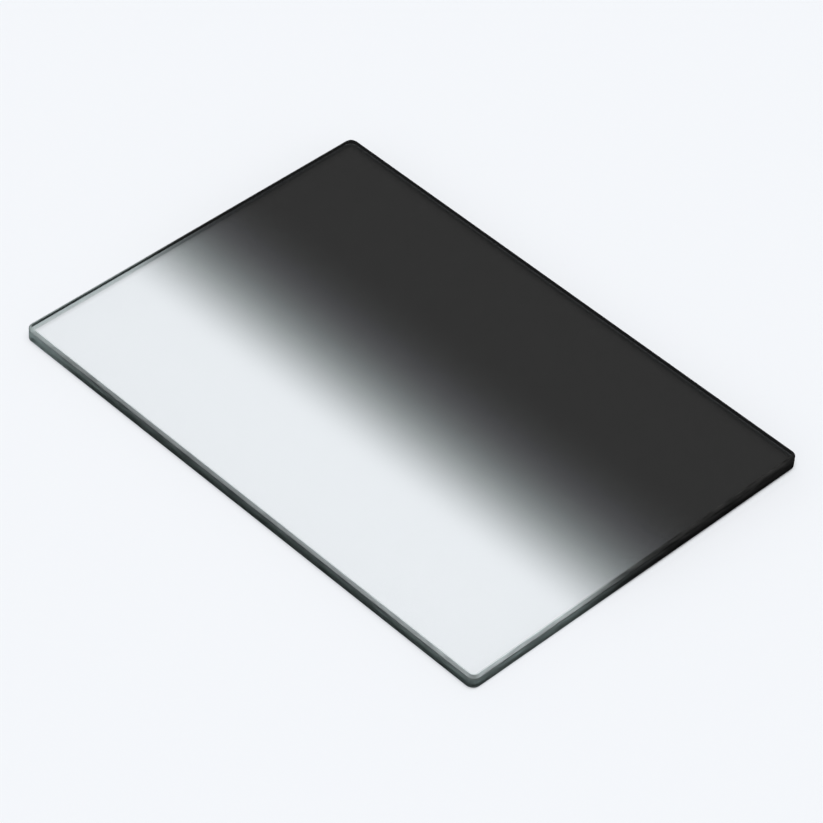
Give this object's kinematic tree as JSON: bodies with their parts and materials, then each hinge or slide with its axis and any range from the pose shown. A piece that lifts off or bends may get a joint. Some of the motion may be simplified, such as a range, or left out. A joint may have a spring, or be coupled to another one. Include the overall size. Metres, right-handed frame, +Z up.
{
  "type": "graduated neutral density filter",
  "caption": "Rectangular glass camera filter plate, clear along one long side and fading softly to dark grey along the other, with a ground and bevelled rim.",
  "frame": {"origin": "centre of the lower face, which the plate rests on", "axes": "+X along the long side, +Y across the short side from the clear long edge to the dark long edge, +Z up out of the upper face"},
  "size_m": [0.1436, 0.1016, 0.004],
  "materials": {
    "graded_glass": "polished faces, clear at the -Y long side and fading to dark neutral grey at the +Y long side; fine ground rim"
  },
  "bodies": {
    "root": {"filter_plate": "graded_glass"}
  },
  "joints": []
}
